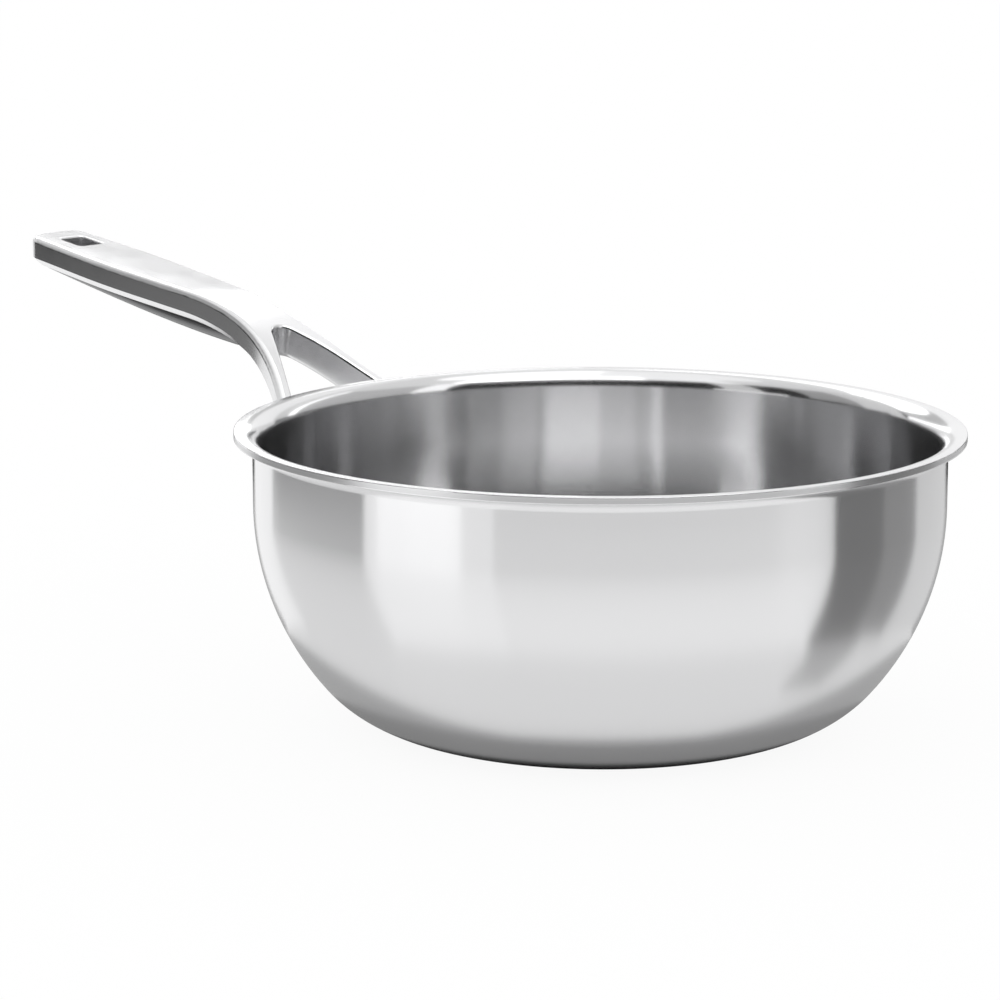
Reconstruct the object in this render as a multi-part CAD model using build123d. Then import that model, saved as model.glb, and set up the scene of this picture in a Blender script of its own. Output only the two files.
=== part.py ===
# Saucier pan: a three-layer stainless bowl with a flared lip and a forked cast handle.
# Millimetres. The origin is the centre of the base on the table, +Z is up and the handle
# points along -X. Reaches are counted outwards from the pan's upright axis.
import math
import os

from build123d import *

os.makedirs("parts", exist_ok=True)

# Bowl: the clad sheet, from the inside out
bore_radius = 110.0
liner_thickness = 0.4
core_thickness = 1.5
shell_thickness = 0.4
pan_height = 97.5
shoulder_height = 73.5
base_radius = 57.5
bowl_corner_share = 0.8
lip_bend_radius = 3.6
lip_reach = 6.0
lip_edge_round = 0.3

# Handle: the line along the middle of its top, seen from the side
root_drop = 12.6
prong_run = 54.3
prong_angle = 32.2
bar_angle = 7.3
bend_radius = 133.0
handle_length = 176.3
casting_thickness = 10.5
crown_radius = 240.0
slab_half_width = 56.0

# Handle: its outline, seen from above, as half widths at reaches beyond the wall
tip_half_width = 12.7
tip_corner_radius = 7.0
grip_reach = 133.0
grip_half_width = 14.0
waist_reach = 64.0
waist_half_width = 11.5
flare_radius = 83.0
flare_angle = 31.6

# Handle: the gap in the fork and the hanging hole
fork_gap_reach = 47.2
fork_gap_angle = 29.0
fork_gap_radius = 5.5
hang_hole_length = 13.0
hang_hole_width = 11.0
hang_hole_corner = 1.8
hang_hole_to_tip = 17.6

# Handle: rounded and chamfered edges
top_edge_round = 2.2
under_chamfer = 2.9
gap_edge_round = 1.2
hole_edge_round = 0.7

# Underside cover: a hollow keel welded under the grip
keel_ledge = 3.8
keel_tip_depth = 1.9
keel_angle = 9.4
keel_bend_reach = 76.0
keel_front_angle = 5.0
keel_corner_radius = 4.0
keel_end_round = 3.5
keel_crotch_margin = 0.8
keel_wall = 1.5
keel_cavity_reach = 60.0
keel_hole_margin = 4.0

# Feet of the fork, their weld beads and locating studs
foot_width = 14.0
foot_height = 21.0
foot_thickness = 3.0
foot_corner_radius = 5.0
foot_edge_round = 1.0
bead_width = 1.6
bead_round = 1.1
stud_radius = 2.0
stud_length = 3.6
stud_clearance = 0.05

# How far cutting and trimming shapes run past what they cut
overrun = 20.0

sheet_thickness = liner_thickness + core_thickness + shell_thickness
wall_radius = bore_radius + sheet_thickness
lip_radius = wall_radius + lip_reach
root_height = pan_height - root_drop
corner_height = root_height + prong_run * math.tan(math.radians(prong_angle))
tip_reach = wall_radius + handle_length


def bowl_arcs(run, rise):
    """Radii of the low and high arcs, and the angle where they meet, of a bowl's side."""
    small, large = min(run, rise), max(run, rise)
    tight = bowl_corner_share * small
    wide = tight + ((run - tight) ** 2 + (rise - tight) ** 2) / (2 * (small - tight))
    steep = math.asin((large - tight) / (wide - tight))
    if rise >= run:
        return tight, wide, steep
    return wide, tight, math.pi / 2 - steep


def bowl_line(depth):
    """The bowl's outer surface moved inwards by depth, from the axis out to the lip's edge."""
    run = wall_radius - base_radius
    low, high, meet = bowl_arcs(run, shoulder_height)
    low_centre = Vector(base_radius, low)
    high_centre = Vector(wall_radius - high, shoulder_height)
    lip_under = pan_height - sheet_thickness
    bend_centre = Vector(wall_radius + lip_bend_radius, lip_under - lip_bend_radius)
    joint = high_centre + Vector(math.cos(meet), -math.sin(meet)) * (high - depth)
    middle_low = low_centre + Vector(math.cos(meet / 2 + math.pi / 4),
                                     -math.sin(meet / 2 + math.pi / 4)) * (low - depth)
    middle_high = high_centre + Vector(math.cos(meet / 2), -math.sin(meet / 2)) * (high - depth)
    bend = lip_bend_radius + depth
    middle_bend = bend_centre + Vector(-1, 1).normalized() * bend
    base_edge = Vector(base_radius, depth)
    shoulder = Vector(wall_radius - depth, shoulder_height)
    bend_low = Vector(wall_radius - depth, bend_centre.Y)
    bend_high = Vector(bend_centre.X, lip_under + depth)
    return [
        Line((0, depth), base_edge),
        ThreePointArc(base_edge, middle_low, joint),
        ThreePointArc(joint, middle_high, shoulder),
        Line(shoulder, bend_low),
        ThreePointArc(bend_low, middle_bend, bend_high),
        Line(bend_high, (lip_radius, lip_under + depth)),
    ]


def closed_face(edges):
    """A flat face inside edges that follow each other, closed by a straight line."""
    start, end = edges[0] @ 0, edges[-1] @ 1
    return make_face(Curve() + edges + [Line(end, start)])


def turned(profile):
    """A profile drawn as reach and height, turned about the pan's axis."""
    return revolve(Plane.XZ * profile, Axis.Z)


def bowl_layer(outer_depth, inner_depth, rounded_depth):
    """One layer of the clad sheet, with the lip's corner rounded on its outward side."""
    outer, inner = bowl_line(outer_depth), bowl_line(inner_depth)
    outer_end, inner_end = outer[-1] @ 1, inner[-1] @ 1
    profile = make_face(Curve() + outer + inner + [Line(outer[0] @ 0, inner[0] @ 0),
                                                   Line(outer_end, inner_end)])
    if rounded_depth is not None:
        corner = Vector(lip_radius, pan_height - sheet_thickness + rounded_depth)
        vertex = profile.vertices().sort_by_distance(corner)[0]
        profile = fillet(vertex, radius=lip_edge_round)
    return turned(profile)


def bowl_filled(depth):
    """Everything inside the bowl's surface at depth, up past the shoulder to the lip's bend."""
    side = bowl_line(depth)[:4]
    top = side[-1] @ 1
    return turned(closed_face(side + [Line(top, (0, top.Y))]))


def side_point(reach, height):
    """A point in the pan's upright middle plane, on the handle's side."""
    return Vector(-reach, 0, height)


def top_path():
    """The middle of the handle's top, from inside the bowl out past the tip."""
    slope, bar_slope = math.tan(math.radians(prong_angle)), math.tan(math.radians(bar_angle))
    inside = side_point(wall_radius - overrun, root_height - overrun * slope)
    corner = side_point(wall_radius + prong_run, corner_height)
    bar_length = handle_length - prong_run + overrun
    outside = side_point(tip_reach + overrun, corner_height + bar_length * bar_slope)
    return FilletPolyline(inside, corner, outside, radius=bend_radius)


def crowned_slab():
    """A slab under the top path, wide enough for the fork, crowned from side to side."""
    path = top_path()
    start, way = path @ 0, path % 0
    section = Plane(origin=start, x_dir=(0, 1, 0), z_dir=way)
    up = 1 if section.y_dir.Z > 0 else -1

    def arc(radius):
        rise = math.sqrt(radius ** 2 - slab_half_width ** 2)
        points = [(-slab_half_width, rise), (0, radius), (slab_half_width, rise)]
        return [(across, up * (height - crown_radius)) for across, height in points]

    high, low = arc(crown_radius), arc(crown_radius - casting_thickness)
    face = make_face(Curve() + [ThreePointArc(*high), ThreePointArc(*low),
                                Line(high[0], low[0]), Line(high[2], low[2])])
    return sweep(section * face, path=path)


def fork_line():
    """One side of the handle's outline from above, from the tip to inside the bowl."""
    angle = math.radians(flare_angle)
    tip = (-tip_reach, tip_half_width)
    grip = (-(wall_radius + grip_reach), grip_half_width)
    waist = (-(wall_radius + waist_reach), waist_half_width)
    side = Spline(tip, grip, waist, tangents=[(1, 0), (1, 0)])

    def flared(turn):
        return waist[0] + flare_radius * math.sin(turn), waist[1] + flare_radius * (1 - math.cos(turn))

    end = flared(angle)
    run = end[0] + wall_radius
    inner = (overrun - wall_radius, end[1] + (overrun - run) * math.tan(angle))
    return [side, ThreePointArc(waist, flared(angle / 2), end), Line(end, inner)]


def outline(depth):
    """The handle's outline, extruded up and down by depth."""
    half = fork_line()
    tip, inner = half[0] @ 0, half[-1] @ 1
    other = [mirror(edge, Plane.XZ) for edge in half]
    face = make_face(Curve() + half + other + [Line(tip, (tip.X, -tip.Y)),
                                               Line(inner, (inner.X, -inner.Y))])
    corners = face.vertices().group_by(Axis.X)[0]
    return extrude(fillet(corners, radius=tip_corner_radius), amount=depth, both=True)


def gap_apex():
    """Reach of the point where the gap's two straight sides would meet."""
    past_crotch = fork_gap_radius / math.sin(math.radians(fork_gap_angle)) - fork_gap_radius
    return wall_radius + fork_gap_reach + past_crotch


def fork_gap(depth):
    """The space between the prongs: a vee with a rounded crotch."""
    apex, end = gap_apex(), wall_radius - overrun
    wide = (apex - end) * math.tan(math.radians(fork_gap_angle))
    face = make_face(Polyline((-apex, 0), (-end, wide), (-end, -wide), close=True))
    vertex = face.vertices().group_by(Axis.X)[0]
    return extrude(fillet(vertex, radius=fork_gap_radius), amount=depth, both=True)


def hang_hole(depth):
    """The hanging hole, a rounded rectangle right through the tip."""
    place = Pos(-(tip_reach - hang_hole_to_tip), 0)
    shape = place * RectangleRounded(hang_hole_length, hang_hole_width, hang_hole_corner)
    return extrude(shape, amount=depth, both=True)


def foot_spot():
    """Reach and half width where the middle line of a prong meets the wall."""
    straight = fork_line()[-1]
    near, far = straight @ 0, straight @ 1
    outer_slope = (far.Y - near.Y) / (far.X - near.X)
    gap_slope = math.tan(math.radians(fork_gap_angle))
    start = (near.Y - outer_slope * near.X + gap_apex() * gap_slope) / 2
    slope = (outer_slope + gap_slope) / 2
    size = 1 + slope ** 2
    inside = start ** 2 * slope ** 2 - size * (start ** 2 - wall_radius ** 2)
    reach = (start * slope + math.sqrt(inside)) / size
    return reach, start - slope * reach


def foot_plane(side):
    """A plane on the bowl's axis that faces out through the middle of one foot."""
    reach, half = foot_spot()
    way = Vector(-reach, side * half, 0).normalized()
    drop = (wall_radius - reach) * math.tan(math.radians(prong_angle))
    sag = crown_radius - math.sqrt(crown_radius ** 2 - half ** 2)
    upright = casting_thickness / math.cos(math.radians(prong_angle))
    height = root_height - drop - sag - upright / 2
    return Plane(origin=(0, 0, height), x_dir=way.cross(Vector(0, 0, 1)), z_dir=way)


def foot_prism(side, grow):
    """A rounded block out through one foot, grown all round."""
    shape = RectangleRounded(foot_width + 2 * grow, foot_height + 2 * grow, foot_corner_radius + grow)
    return extrude(foot_plane(side) * shape, amount=lip_radius + overrun)


def wall_skin(thickness):
    """A skin on the outside of the bowl's wall."""
    return bowl_filled(-thickness) - bowl_filled(0)


def stud(side, grow):
    """One locating stud, from the wall into its foot, grown on its end and side."""
    length = wall_radius + stud_length + grow
    return extrude(foot_plane(side) * Circle(stud_radius + grow), amount=length) - bowl_filled(0)


def border_edges(body, up, keep):
    """Edges round the faces that look up (1) or down (-1), where keep accepts their middles."""
    uses = {}
    for face in body.faces():
        if face.normal_at().Z * up > 0.5:
            for edge in face.edges():
                uses[edge] = uses.get(edge, 0) + 1
    return [edge for edge, count in uses.items() if count == 1 and keep(edge @ 0.5)]


def rounded(body, radius, up, keep):
    """The body with those edges rounded."""
    return fillet(border_edges(body, up, keep), radius=radius)


def handle_casting():
    """The bar, the fork and its two feet, cast in one piece."""
    deep = pan_height + handle_length
    inner_end = overrun - wall_radius
    hole_x = -(tip_reach - hang_hole_to_tip)
    body = crowned_slab() & outline(deep)

    def outer(middle):
        return middle.X < inner_end - overrun / 2

    def beside_gap(middle):
        half = (gap_apex() + middle.X) * math.tan(math.radians(fork_gap_angle))
        return outer(middle) and middle.X > -gap_apex() and abs(middle.Y) < half + gap_edge_round

    def beside_hole(middle):
        along, across = abs(middle.X - hole_x), abs(middle.Y)
        beside = along < hang_hole_length / 2 + hole_edge_round
        return beside and across < hang_hole_width / 2 + hole_edge_round

    body = rounded(body, top_edge_round, 1, outer)
    body = chamfer(border_edges(body, -1, outer), length=under_chamfer)
    body = body - fork_gap(deep)
    for up in (1, -1):
        body = rounded(body, gap_edge_round, up, beside_gap)
    body = body - hang_hole(deep)
    body = rounded(body, hole_edge_round, 1, beside_hole)
    body = body - bowl_filled(0)
    for side in (1, -1):
        body = body + foot_pad(side)
    for side in (1, -1):
        body = body - stud(side, stud_clearance)
    return body


def keel_height(reach):
    """Height of the underside cover's lowest line at a reach."""
    tip = tip_reach - keel_ledge
    bar_rise = (tip - wall_radius - prong_run) * math.tan(math.radians(bar_angle))
    under = corner_height + bar_rise - casting_thickness / math.cos(math.radians(bar_angle))
    bend = wall_radius + keel_bend_reach
    fall = (tip - max(reach, bend)) * math.tan(math.radians(keel_angle))
    front_fall = (bend - min(reach, bend)) * math.tan(math.radians(keel_front_angle))
    return under - keel_tip_depth - fall - front_fall


def keel_loft(wall):
    """A tall block with the underside cover's rounded bottom, drawn in by wall."""
    front = wall_radius + fork_gap_reach + keel_crotch_margin
    reaches = [front, wall_radius + keel_bend_reach, wall_radius + grip_reach, tip_reach - keel_ledge]
    halves = [waist_half_width, waist_half_width, grip_half_width, tip_half_width]
    sections = []
    for reach, outer_half in zip(reaches, halves):
        half = outer_half - keel_ledge - wall
        low, high = keel_height(reach) + wall, pan_height + handle_length
        place = Plane(origin=(-reach, 0, 0), x_dir=(0, 1, 0), z_dir=(1, 0, 0))
        face = Pos(0, (low + high) / 2) * RectangleRounded(2 * half, high - low, keel_corner_radius - wall)
        sections.append(place * face)
    return loft(sections)


def under_casting(block):
    """The lower of the two pieces that the handle's casting cuts a tall block into."""
    pieces = block - crowned_slab()
    return pieces.solids().sort_by(Axis.Z)[0]


def handle_underside():
    """The hollow cover under the grip, fitted to the casting's underside."""
    deep = pan_height + handle_length
    block = keel_loft(0)
    end = block.faces().sort_by(Axis.X)[0]
    upright = [edge for edge in end.edges() if edge.length > handle_length / 2]
    block = fillet(upright, radius=keel_end_round)
    cover = under_casting(block)
    hole_start = tip_reach - hang_hole_to_tip - hang_hole_length / 2 - keel_hole_margin
    start = wall_radius + keel_cavity_reach
    middle = (start + hole_start) / 2
    room = Pos(-middle, 0, 0) * Box(hole_start - start, wall_radius, 2 * deep)
    cavity = under_casting(keel_loft(keel_wall) & room)
    return cover - cavity - hang_hole(deep)


def edges_beyond(shape, solid, distance):
    """The edges of a shape whose middles lie further than distance from a solid."""
    return [edge for edge in shape.edges() if Vertex(*(edge @ 0.5)).distance_to(solid) > distance]


def foot_pad(side):
    """The foot of one prong, curved to the wall, with its outer edge rounded."""
    pad = wall_skin(foot_thickness) & foot_prism(side, 0)
    return fillet(edges_beyond(pad, bowl_filled(0), foot_thickness / 2), radius=foot_edge_round)


def foot_bead(side):
    """The bead of weld metal round one foot."""
    ring = wall_skin(bead_width) & (foot_prism(side, bead_width) - foot_prism(side, 0))
    outer = edges_beyond(ring, foot_prism(side, 0), bead_width / 2)
    proud = edges_beyond(ring, bowl_filled(0), bead_width / 2)
    return fillet([edge for edge in outer if edge in proud], radius=bead_round)


def main():
    """Make every sub-part and write one STEP file for each."""
    inside, outside = shell_thickness + core_thickness, shell_thickness
    nodes = {
        "bowl_liner": bowl_layer(inside, sheet_thickness, sheet_thickness),
        "bowl_core": bowl_layer(outside, inside, None),
        "bowl_outer_shell": bowl_layer(0, outside, 0),
        "handle_casting": handle_casting(),
        "handle_underside": handle_underside(),
    }
    for side, hand in ((1, "right"), (-1, "left")):
        nodes["foot_stud_" + hand] = stud(side, 0)
        nodes["foot_weld_" + hand] = foot_bead(side)
    for name, shape in nodes.items():
        print(name, shape.is_valid, len(shape.solids()), round(shape.volume), shape.bounding_box())
        export_step(shape, "parts/" + name + ".step")


main()
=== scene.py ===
# Looks of the saucier pan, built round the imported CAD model, in metres.
# The pan stands on its base at the origin, +Z is up and the handle points along -X.
import math

import bpy
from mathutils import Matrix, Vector


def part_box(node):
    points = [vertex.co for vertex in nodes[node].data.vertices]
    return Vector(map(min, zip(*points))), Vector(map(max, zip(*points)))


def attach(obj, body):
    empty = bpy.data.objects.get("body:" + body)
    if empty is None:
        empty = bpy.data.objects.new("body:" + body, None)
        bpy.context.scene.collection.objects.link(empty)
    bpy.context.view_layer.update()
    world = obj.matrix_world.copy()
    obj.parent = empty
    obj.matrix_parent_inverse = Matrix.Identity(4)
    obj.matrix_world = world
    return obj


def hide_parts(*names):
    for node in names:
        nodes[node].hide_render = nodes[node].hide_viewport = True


mm = 0.001
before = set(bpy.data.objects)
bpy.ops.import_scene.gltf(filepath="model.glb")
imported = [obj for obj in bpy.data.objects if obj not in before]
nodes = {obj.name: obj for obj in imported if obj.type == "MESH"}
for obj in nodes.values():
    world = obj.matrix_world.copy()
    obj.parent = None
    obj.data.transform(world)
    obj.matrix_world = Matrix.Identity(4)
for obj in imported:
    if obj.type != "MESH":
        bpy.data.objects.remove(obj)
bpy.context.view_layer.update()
scene = bpy.context.scene
print("frame loaded:", len(nodes), "nodes")


# Camera and view
view = {
    "right": 840.8 * mm,         # from the pan's axis, along +X
    "front": 856.8 * mm,         # from the pan's axis, along -Y
    "distance": 1200.4 * mm,     # both together, level
    "height": 314.4 * mm,        # above the floor
    "azimuth": 46.0,             # degrees, 0 looks along +Y
    "tilt": 11.37,               # degrees below level
    "sensor": 36.0,              # mm
    "lens": 135.6,               # mm
    "clipEnd": 30.0,             # m
}


def addCamera():
    camera = bpy.data.cameras.new("photoCamera")
    camera.sensor_width = view["sensor"]
    camera.lens = view["lens"]
    camera.clip_end = view["clipEnd"]
    turn = math.radians(view["azimuth"])
    tilt = math.radians(view["tilt"])
    away = Vector((-math.sin(turn) * math.cos(tilt), math.cos(turn) * math.cos(tilt), -math.sin(tilt)))
    holder = bpy.data.objects.new("photoCamera", camera)
    scene.collection.objects.link(holder)
    holder.location = (view["right"], -view["front"], view["height"])
    holder.rotation_euler = away.to_track_quat("-Z", "Y").to_euler()
    scene.camera = holder


addCamera()
scene.view_settings.view_transform = "Standard"


# Nodes and colours
white = "#FFFFFF"


# sRGB hex values to linear ones, by the sRGB curve
def hexToLinear(text):
    parts = [int(text[at:at + 2], 16) / 255 for at in (1, 3, 5)]
    linear = [part / 12.92 if part <= 0.04045 else ((part + 0.055) / 1.055) ** 2.4 for part in parts]
    return (*linear, 1.0)


def addNode(tree, kind, settings=None, links=None):
    node = tree.nodes.new("ShaderNode" + kind)
    for key, value in (settings or {}).items():
        if isinstance(key, str) and hasattr(node, key):
            setattr(node, key, value)
        else:
            node.inputs[key].default_value = value
    for key, socket in (links or {}).items():
        tree.links.new(socket, node.inputs[key])
    return node


def newMaterial(name):
    material = bpy.data.materials.new(name)
    material.use_nodes = True
    material.node_tree.nodes.clear()
    return material


def finishMaterial(material, shader):
    addNode(material.node_tree, "OutputMaterial", links={"Surface": shader.outputs[0]})
    return material


# where most of a noise texture's values lie
noiseLow, noiseHigh = 0.3, 0.7
quarterTurn = 0.25               # of a shader's rotation, where 1 is a whole turn


def roughRange(look):
    return {"From Min": noiseLow, "From Max": noiseHigh,
            "To Min": look["roughLow"], "To Max": look["roughHigh"]}


# Steel turned on a lathe: polishing lines run round the pan's axis, so reflections
# stay crisp from side to side and smear up and down. The real lines are too fine to
# show, so lineSpacing draws them coarser.
def turnedSteel(name, look):
    material = newMaterial(name)
    tree = material.node_tree
    place = addNode(tree, "TexCoord")
    parts = addNode(tree, "SeparateXYZ", links={0: place.outputs["Object"]})
    level = addNode(tree, "CombineXYZ", links={"X": parts.outputs["X"], "Y": parts.outputs["Y"]})
    reach = addNode(tree, "VectorMath", {"operation": "LENGTH"}, {0: level.outputs[0]})
    outward = addNode(tree, "VectorMath", {"operation": "NORMALIZE"}, {0: level.outputs[0]})
    along = addNode(tree, "VectorMath", {"operation": "SCALE", "Scale": look["linesAround"]},
                    {0: outward.outputs[0]})
    across = addNode(tree, "Math", {"operation": "ADD"},
                     {0: reach.outputs["Value"], 1: parts.outputs["Z"]})
    lines = addNode(tree, "Math", {"operation": "DIVIDE", 1: look["lineSpacing"]}, {0: across.outputs[0]})
    lifted = addNode(tree, "CombineXYZ", links={"Z": lines.outputs[0]})
    spot = addNode(tree, "VectorMath", {"operation": "ADD"}, {0: along.outputs[0], 1: lifted.outputs[0]})
    grain = addNode(tree, "TexNoise", {"Scale": 1.0, "Detail": 3.0, "Roughness": 0.6},
                    {"Vector": spot.outputs[0]})
    rough = addNode(tree, "MapRange", roughRange(look), {"Value": grain.outputs["Fac"]})
    tone = addNode(tree, "MixRGB", {1: hexToLinear(look["dark"]), 2: hexToLinear(look["light"])},
                   {"Fac": grain.outputs["Fac"]})
    tangent = addNode(tree, "Tangent", {"direction_type": "RADIAL", "axis": "Z"})
    shader = addNode(tree, "BsdfPrincipled",
                     {"Metallic": 1.0, "Anisotropic": look["anisotropy"],
                      "Anisotropic Rotation": quarterTurn},
                     {"Base Color": tone.outputs[0], "Roughness": rough.outputs[0],
                      "Tangent": tangent.outputs[0]})
    return finishMaterial(material, shader)


# Bowl: the three layers of the clad sheet as turned shells
bowl = {
    "boreRadius": 110.0 * mm,
    "linerThickness": 0.4 * mm,
    "coreThickness": 1.5 * mm,
    "shellThickness": 0.4 * mm,
    "shoulderHeight": 73.5 * mm,
    "baseRadius": 57.5 * mm,
    "cornerShare": 0.8,
    "lipBend": 3.6 * mm,
    "lipEdgeRound": 0.3 * mm,
    "segments": 288,
    "arcStep": math.radians(2.0),
    "sharpAngle": math.radians(30),
}
sheet = bowl["linerThickness"] + bowl["coreThickness"] + bowl["shellThickness"]
wallRadius = bowl["boreRadius"] + sheet
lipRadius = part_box("bowl_liner")[1].x
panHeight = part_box("bowl_liner")[1].z


def arcPoints(centre, radius, start, end):
    steps = max(2, math.ceil(abs(end - start) / bowl["arcStep"]))
    turns = [start + (end - start) * step / steps for step in range(steps + 1)]
    return [(centre[0] + radius * math.cos(turn), centre[1] + radius * math.sin(turn)) for turn in turns]


def sidePoints(depth):
    run, rise = wallRadius - bowl["baseRadius"], bowl["shoulderHeight"]
    low = bowl["cornerShare"] * run
    high = low + ((run - low) ** 2 + (rise - low) ** 2) / (2 * (run - low))
    meet = math.asin((rise - low) / (high - low))
    under = panHeight - sheet
    bendCentre = (wallRadius + bowl["lipBend"], under - bowl["lipBend"])
    points = [(0.0, depth)]
    points += arcPoints((bowl["baseRadius"], low), low - depth, -math.pi / 2, -meet)
    points += arcPoints((wallRadius - high, rise), high - depth, -meet, 0)[1:]
    points += arcPoints(bendCentre, bowl["lipBend"] + depth, math.pi, math.pi / 2)
    return points


# Depths are measured inwards from the pan's outer face. The lip's two outermost edges are
# rounded: the outer one belongs to the shell, the inner one to the liner.
def turnedShell(name, node, outerDepth, innerDepth, material, outerRound=False, innerRound=False):
    outer, inner = sidePoints(outerDepth), sidePoints(innerDepth)
    under, over = panHeight - sheet + outerDepth, panHeight - sheet + innerDepth
    small = bowl["lipEdgeRound"]
    if outerRound:
        outer += arcPoints((lipRadius - small, under + small), small, -math.pi / 2, 0)
    else:
        outer.append((lipRadius, under))
    if innerRound:
        inner += arcPoints((lipRadius - small, over - small), small, math.pi / 2, 0)
    else:
        inner.append((lipRadius, over))
    profile = outer + inner[::-1]
    verts, faces, rings = [], [], []
    for reach, height in profile:
        if reach == 0:
            rings.append([len(verts)] * bowl["segments"])
            verts.append((0, 0, height))
            continue
        rings.append(range(len(verts), len(verts) + bowl["segments"]))
        for step in range(bowl["segments"]):
            turn = 2 * math.pi * step / bowl["segments"]
            verts.append((reach * math.cos(turn), reach * math.sin(turn), height))
    for first, second in zip(rings, rings[1:]):
        for step in range(bowl["segments"]):
            after = (step + 1) % bowl["segments"]
            loop = [first[step], first[after], second[after], second[step]]
            faces.append(list(dict.fromkeys(loop)))
    mesh = bpy.data.meshes.new(name)
    mesh.from_pydata(verts, [], faces)
    mesh.validate()
    mesh.polygons.foreach_set("use_smooth", [True] * len(mesh.polygons))
    mesh.set_sharp_from_angle(angle=bowl["sharpAngle"])
    mesh.materials.append(material)
    piece = bpy.data.objects.new(name, mesh)
    scene.collection.objects.link(piece)
    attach(piece, "root")
    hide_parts(node)


# 18/10 stainless, satin inside: a little darker, with reflections in upright bands
satinLiner = turnedSteel("satinBrushedStainless", {
    "light": "#DEDEDF", "dark": "#DBDBDC", "roughLow": 0.15, "roughHigh": 0.16, "anisotropy": 1.0,
    "lineSpacing": 0.6 * mm, "linesAround": 2.0})
# magnetic stainless, polished outside: brighter, with soft edges to its bands
polishedShell = turnedSteel("polishedMagneticStainless", {
    "light": "#EDEDEE", "dark": "#EAEAEB", "roughLow": 0.18, "roughHigh": 0.19, "anisotropy": 1.0,
    "lineSpacing": 0.6 * mm, "linesAround": 2.0})
# rolled aluminium, only its cut edge shows along the lip
cutAluminium = turnedSteel("cutAluminiumCore", {
    "light": "#E2E2E3", "dark": "#D9D9DA", "roughLow": 0.30, "roughHigh": 0.38, "anisotropy": 0.6,
    "lineSpacing": 0.4 * mm, "linesAround": 2.0})

inside = bowl["shellThickness"] + bowl["coreThickness"]
turnedShell("bowlLiner", "bowl_liner", inside, sheet, satinLiner, innerRound=True)
turnedShell("bowlCore", "bowl_core", bowl["shellThickness"], inside, cutAluminium)
turnedShell("bowlShell", "bowl_outer_shell", 0.0, bowl["shellThickness"], polishedShell, outerRound=True)
print("bowl turned")


# Cast steel: even polish with a faint unevenness left by the mould and the buffing wheel.
# The grain is drawn coarser than the wheel leaves it, so that it shows.
def castSteel(name, look):
    material = newMaterial(name)
    tree = material.node_tree
    place = addNode(tree, "TexCoord")
    scaled = addNode(tree, "VectorMath", {"operation": "SCALE", "Scale": 1 / look["patch"]},
                     {0: place.outputs["Object"]})
    mottle = addNode(tree, "TexNoise", {"Scale": 1.0, "Detail": 3.0, "Roughness": 0.55},
                     {"Vector": scaled.outputs[0]})
    fine = addNode(tree, "VectorMath", {"operation": "SCALE", "Scale": 1 / look["grain"]},
                   {0: place.outputs["Object"]})
    grain = addNode(tree, "TexNoise", {"Scale": 1.0, "Detail": 2.0}, {"Vector": fine.outputs[0]})
    rough = addNode(tree, "MapRange", roughRange(look), {"Value": mottle.outputs["Fac"]})
    tone = addNode(tree, "MixRGB", {1: hexToLinear(look["dark"]), 2: hexToLinear(look["light"])},
                   {"Fac": mottle.outputs["Fac"]})
    bump = addNode(tree, "Bump", {"Strength": look["bump"], "Distance": look["grainDepth"]},
                   {"Height": grain.outputs["Fac"]})
    shader = addNode(tree, "BsdfPrincipled", {"Metallic": 1.0},
                     {"Base Color": tone.outputs[0], "Roughness": rough.outputs[0],
                      "Normal": bump.outputs[0]})
    return finishMaterial(material, shader)


castHandle = castSteel("buffedCastStainless", {
    "light": "#EDEDEE", "dark": "#E6E6E7", "roughLow": 0.20, "roughHigh": 0.24, "patch": 9 * mm,
    "grain": 0.8 * mm, "bump": 0.06, "grainDepth": 0.01 * mm})
nodes["handle_casting"].data.materials[0] = castHandle
# weld metal: duller, with the ripple of the torch
weldMetal = castSteel("brushedWeldBead", {
    "light": "#C4C4C4", "dark": "#A9A7A4", "roughLow": 0.30, "roughHigh": 0.42, "patch": 3 * mm,
    "grain": 0.9 * mm, "bump": 0.35, "grainDepth": 0.06 * mm})
# the cover under the grip: a rougher cast face, and a dark colour that is painted shade under the grip
shadedCastCover = castSteel("halfBuffedCoverPaintedShade", {
    "light": "#7E7E7F", "dark": "#717172", "roughLow": 0.28, "roughHigh": 0.34, "patch": 7 * mm,
    "grain": 0.8 * mm, "bump": 0.08, "grainDepth": 0.01 * mm})
nodes["handle_underside"].data.materials[0] = shadedCastCover
for name in ("foot_weld_left", "foot_weld_right", "foot_stud_left", "foot_stud_right"):
    nodes[name].data.materials[0] = weldMetal
print("handle and welds finished")


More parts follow.
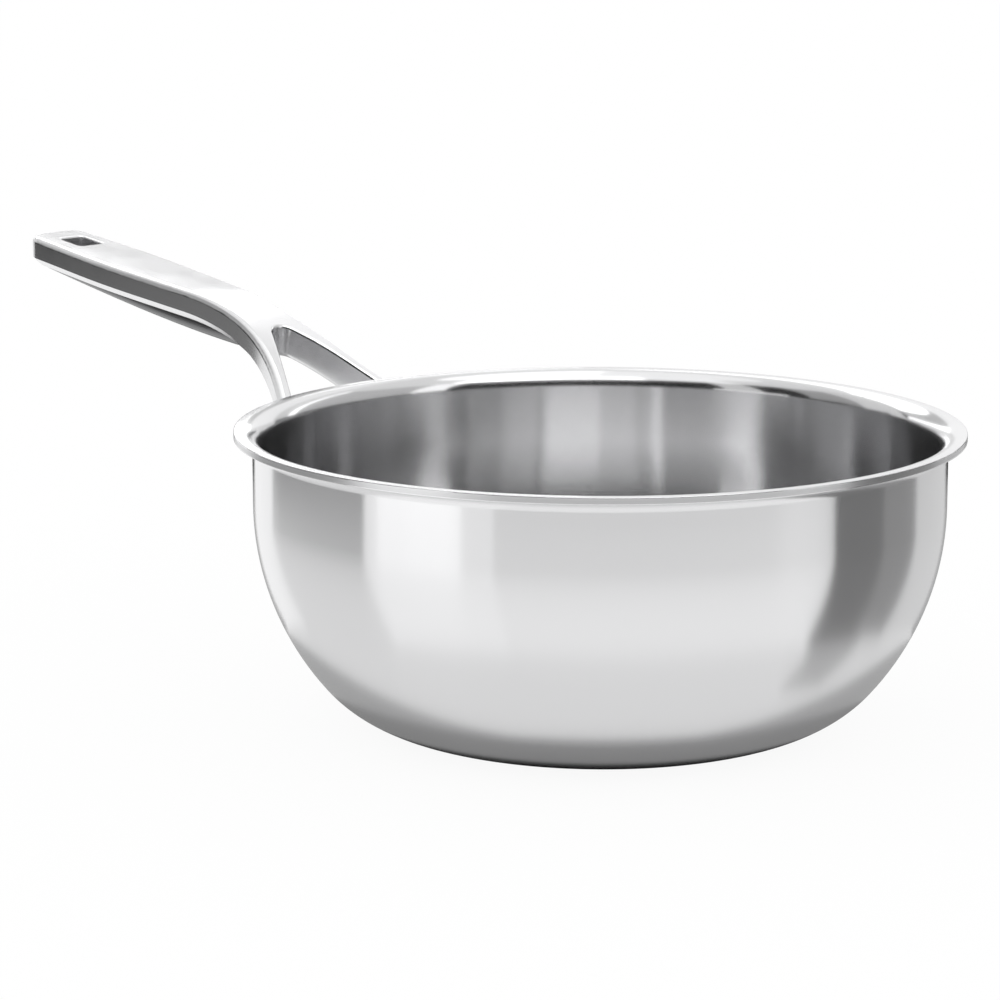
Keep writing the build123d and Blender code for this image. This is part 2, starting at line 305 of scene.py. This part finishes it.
# Studio: a dark room with a pale table, soft boxes and screens, which the steel alone mirrors.
# Sides are degrees round the pan from the camera's side, right is positive. A table panel
# stands where that part of the bowl's wall mirrors it, the others stand at their own sides.
# Spans are mm from the axis, or mm of height for walls. A glow of 1 is white. "back" sets a
# panel that many mm behind or below the others, and "shift" moves a disc toward the camera.
# They were set so that the steel shows the photo's bands when seen from the photo's side.
tent = {
    "floorHalf": 6.0,            # m, half the side of the square floor
    "reach": 1200 * mm,          # from the pan's axis to the walls
    "height": 2400 * mm,         # of the roof
    "panelLift": 0.3 * mm,       # of table panels and discs above the floor
    "sideStep": 3.0,             # degrees, length of a panel's straight pieces
    "roomLight": 1.0,            # strength of the white world on matt surfaces
    "floorSeenWhite": 0.93,      # share of the floor that the camera sees as plain white
}
panels = {
    # the dark room behind them
    "darkWalls": {"zone": "wall", "sides": (0, 360), "span": (0, 2400), "back": 40, "glow": 0.0},
    "darkFloor": {"zone": "disc", "sides": (0, 360), "span": (150, 1240), "back": 0.2, "glow": 0.0},
    # pale table, from the left of the bowl to the right
    "tableRimLeft": {"zone": "table", "sides": (-79, -66), "span": (150, 1200), "glow": 1.0},
    "tableGreyLeft": {"zone": "table", "sides": (-66, -40), "span": (150, 450), "glow": 0.8},
    "tableGreyLeftFar": {"zone": "table", "sides": (-66, -40), "span": (450, 1200), "glow": 0.2},
    "tableBrightLeft": {"zone": "table", "sides": (-40, -17), "span": (150, 450), "glow": 1.0},
    "tableBrightLeftFar": {"zone": "table", "sides": (-40, -17), "span": (450, 1200), "glow": 1.3},
    "tableFront": {"zone": "table", "sides": (-17, 38.5), "span": (150, 1200), "glow": 0.95},
    "tableDarkRight": {"zone": "table", "sides": (38.5, 50), "span": (150, 1200), "glow": 0.2},
    "tableFadeRight": {"zone": "table", "sides": (50, 60), "span": (150, 1200), "glow": 0.3},
    "tableRimRight": {"zone": "table", "sides": (60, 77), "span": (150, 1200), "glow": 0.7},
    "tableBack": {"zone": "disc", "sides": (79, 281), "span": (150, 450), "back": 0.1, "glow": 0.4},
    # shade under the pan, which the rounded lower side mirrors
    "shadeCore": {"zone": "disc", "sides": (0, 360), "span": (0, 75), "glow": 0.0},
    "shadeEdge": {"zone": "disc", "sides": (0, 360), "span": (75, 92), "glow": 0.25},
    "shadeSide": {"zone": "disc", "sides": (0, 360), "span": (0, 130), "shift": -40, "back": 0.05,
                  "glow": 0.4},
    "shadeFade": {"zone": "disc", "sides": (0, 360), "span": (92, 150), "back": 0.1, "glow": 0.8},
    "shadeDarkRight": {"zone": "table", "sides": (41, 54), "span": (114, 150), "glow": 0.5},
    # lamps and screens along the walls
    "softboxLeftLow": {"zone": "wall", "sides": (-74, -44), "span": (0, 250), "glow": 1.3},
    "softboxLeft": {"zone": "wall", "sides": (-64, -48), "span": (250, 1300), "glow": 0.7},
    "softboxRight": {"zone": "wall", "sides": (57, 72), "span": (250, 1300), "glow": 1.4},
    "screenRight": {"zone": "wall", "sides": (72, 133), "span": (250, 1300), "glow": 0.6},
    "stripBackRight": {"zone": "wall", "sides": (133, 139), "span": (250, 1300), "glow": 2.0},
    "screenBackRight": {"zone": "wall", "sides": (139, 152), "span": (250, 1300), "glow": 0.8},
    "screenBack": {"zone": "wall", "sides": (152, 179), "span": (250, 1300), "glow": 1.1},
    "softboxBackLow": {"zone": "wall", "sides": (179, 221), "span": (250, 350), "glow": 2.2},
    "screenForGrip": {"zone": "wall", "sides": (179, 221), "span": (350, 600), "glow": 0.6},
    "softboxBack": {"zone": "wall", "sides": (179, 221), "span": (600, 1300), "glow": 2.2},
    "screenBackLow": {"zone": "wall", "sides": (150, 235), "span": (0, 250), "glow": 0.8},
    "screenLeftBack": {"zone": "wall", "sides": (224, 250), "span": (250, 1300), "glow": 0.8},
    "screenLeft": {"zone": "wall", "sides": (250, 276), "span": (250, 1300), "glow": 0.4},
    # top light, strongest from the front right
    "topWallLeft": {"zone": "wall", "sides": (-64, -22), "span": (1300, 2400), "glow": 1.3},
    "topWallFront": {"zone": "wall", "sides": (-22, 20), "span": (1300, 2400), "glow": 2.5},
    "topWallRight": {"zone": "wall", "sides": (20, 65), "span": (1300, 2400), "glow": 3.0},
    "topWallBack": {"zone": "wall", "sides": (65, 296), "span": (1300, 2400), "glow": 0.9},
    "roofLeft": {"zone": "roof", "sides": (180, 360), "span": (0, 1240), "glow": 1.2},
    "roofRight": {"zone": "roof", "sides": (0, 180), "span": (0, 1240), "glow": 1.6},
}


# level direction that many degrees round from the camera's side
def unit(degrees):
    turn = math.radians(view["azimuth"] - 90 + degrees)  # an azimuth of 0 stands at -Y
    return Vector((math.cos(turn), math.sin(turn)))


# Seen from above: where the camera's line of sight, mirrored by the wall at a side, is that
# far from the axis
def mirrorSpot(side, reach):
    start = unit(side) * wallRadius
    toCamera = (unit(0) * view["distance"] - start).normalized()
    way = 2 * unit(side) * unit(side).dot(toCamera) - toCamera
    along = start.dot(way)
    return start + way * (math.sqrt(along ** 2 - start.length_squared + reach ** 2) - along)


def stagePlate(name, verts, faces, material):
    mesh = bpy.data.meshes.new(name)
    mesh.from_pydata(verts, [], faces)
    mesh.materials.append(material)
    plate = bpy.data.objects.new(name, mesh)
    scene.collection.objects.link(plate)
    return plate


def addPanel(name, look):
    first, last = look["sides"]
    steps = max(1, math.ceil((last - first) / tent["sideStep"]))
    low, high = look["span"][0] * mm, look["span"][1] * mm
    back = look.get("back", 0) * mm
    lift = tent["panelLift"] - back
    centre = unit(0) * (look.get("shift", 0) * mm)
    verts, faces = [], []
    for step in range(steps + 1):
        side = first + (last - first) * step / steps
        if look["zone"] == "table":
            verts += [(*mirrorSpot(side, reach), lift) for reach in (low, high)]
        elif look["zone"] == "disc":
            verts += [(*(centre + unit(side) * reach), lift) for reach in (low, high)]
        elif look["zone"] == "wall":
            verts += [(*(unit(side) * (tent["reach"] + back)), height) for height in (low, high)]
        else:
            verts += [(*(unit(side) * reach), tent["height"]) for reach in (low, high)]
        if step:
            at = 2 * step
            faces.append((at - 2, at - 1, at + 1, at))
    material = newMaterial(name)
    light = {"Color": hexToLinear(white), "Strength": look["glow"]}
    finishMaterial(material, addNode(material.node_tree, "Emission", light))
    panel = stagePlate(name, verts, faces, material)
    panel.visible_camera = False
    panel.visible_diffuse = False
    panel.visible_shadow = False
    panel.visible_transmission = False


def addFloor():
    material = newMaterial("paleFloor")
    tree = material.node_tree
    path = addNode(tree, "LightPath")
    seen = addNode(tree, "Math", {"operation": "MAXIMUM"},
                   {0: path.outputs["Is Camera Ray"], 1: path.outputs["Is Transmission Ray"]})
    share = addNode(tree, "Math", {"operation": "MULTIPLY", 1: tent["floorSeenWhite"]}, {0: seen.outputs[0]})
    matt = addNode(tree, "BsdfDiffuse", {"Color": hexToLinear(white)})
    plain = addNode(tree, "Emission", {"Color": hexToLinear(white), "Strength": 1.0})
    mixed = addNode(tree, "MixShader", links={0: share.outputs[0], 1: matt.outputs[0], 2: plain.outputs[0]})
    finishMaterial(material, mixed)
    half = tent["floorHalf"]
    corners = [(-half, -half, 0), (half, -half, 0), (half, half, 0), (-half, half, 0)]
    stagePlate("floor", corners, [(0, 1, 2, 3)], material)


def addRoom():
    world = bpy.data.worlds.new("studioWorld")
    world.use_nodes = True
    tree = world.node_tree
    tree.nodes.clear()
    path = addNode(tree, "LightPath")
    seen = addNode(tree, "Math", {"operation": "MAXIMUM"},
                   {0: path.outputs["Is Camera Ray"], 1: path.outputs["Is Glossy Ray"]})
    room = addNode(tree, "Background", {"Color": hexToLinear(white), "Strength": tent["roomLight"]})
    plain = addNode(tree, "Background", {"Color": hexToLinear(white), "Strength": 1.0})
    mixed = addNode(tree, "MixShader", links={0: seen.outputs[0], 1: room.outputs[0], 2: plain.outputs[0]})
    addNode(tree, "OutputWorld", links={"Surface": mixed.outputs[0]})
    scene.world = world


addFloor()
addRoom()
for name, look in panels.items():
    addPanel(name, look)
print("studio ready")
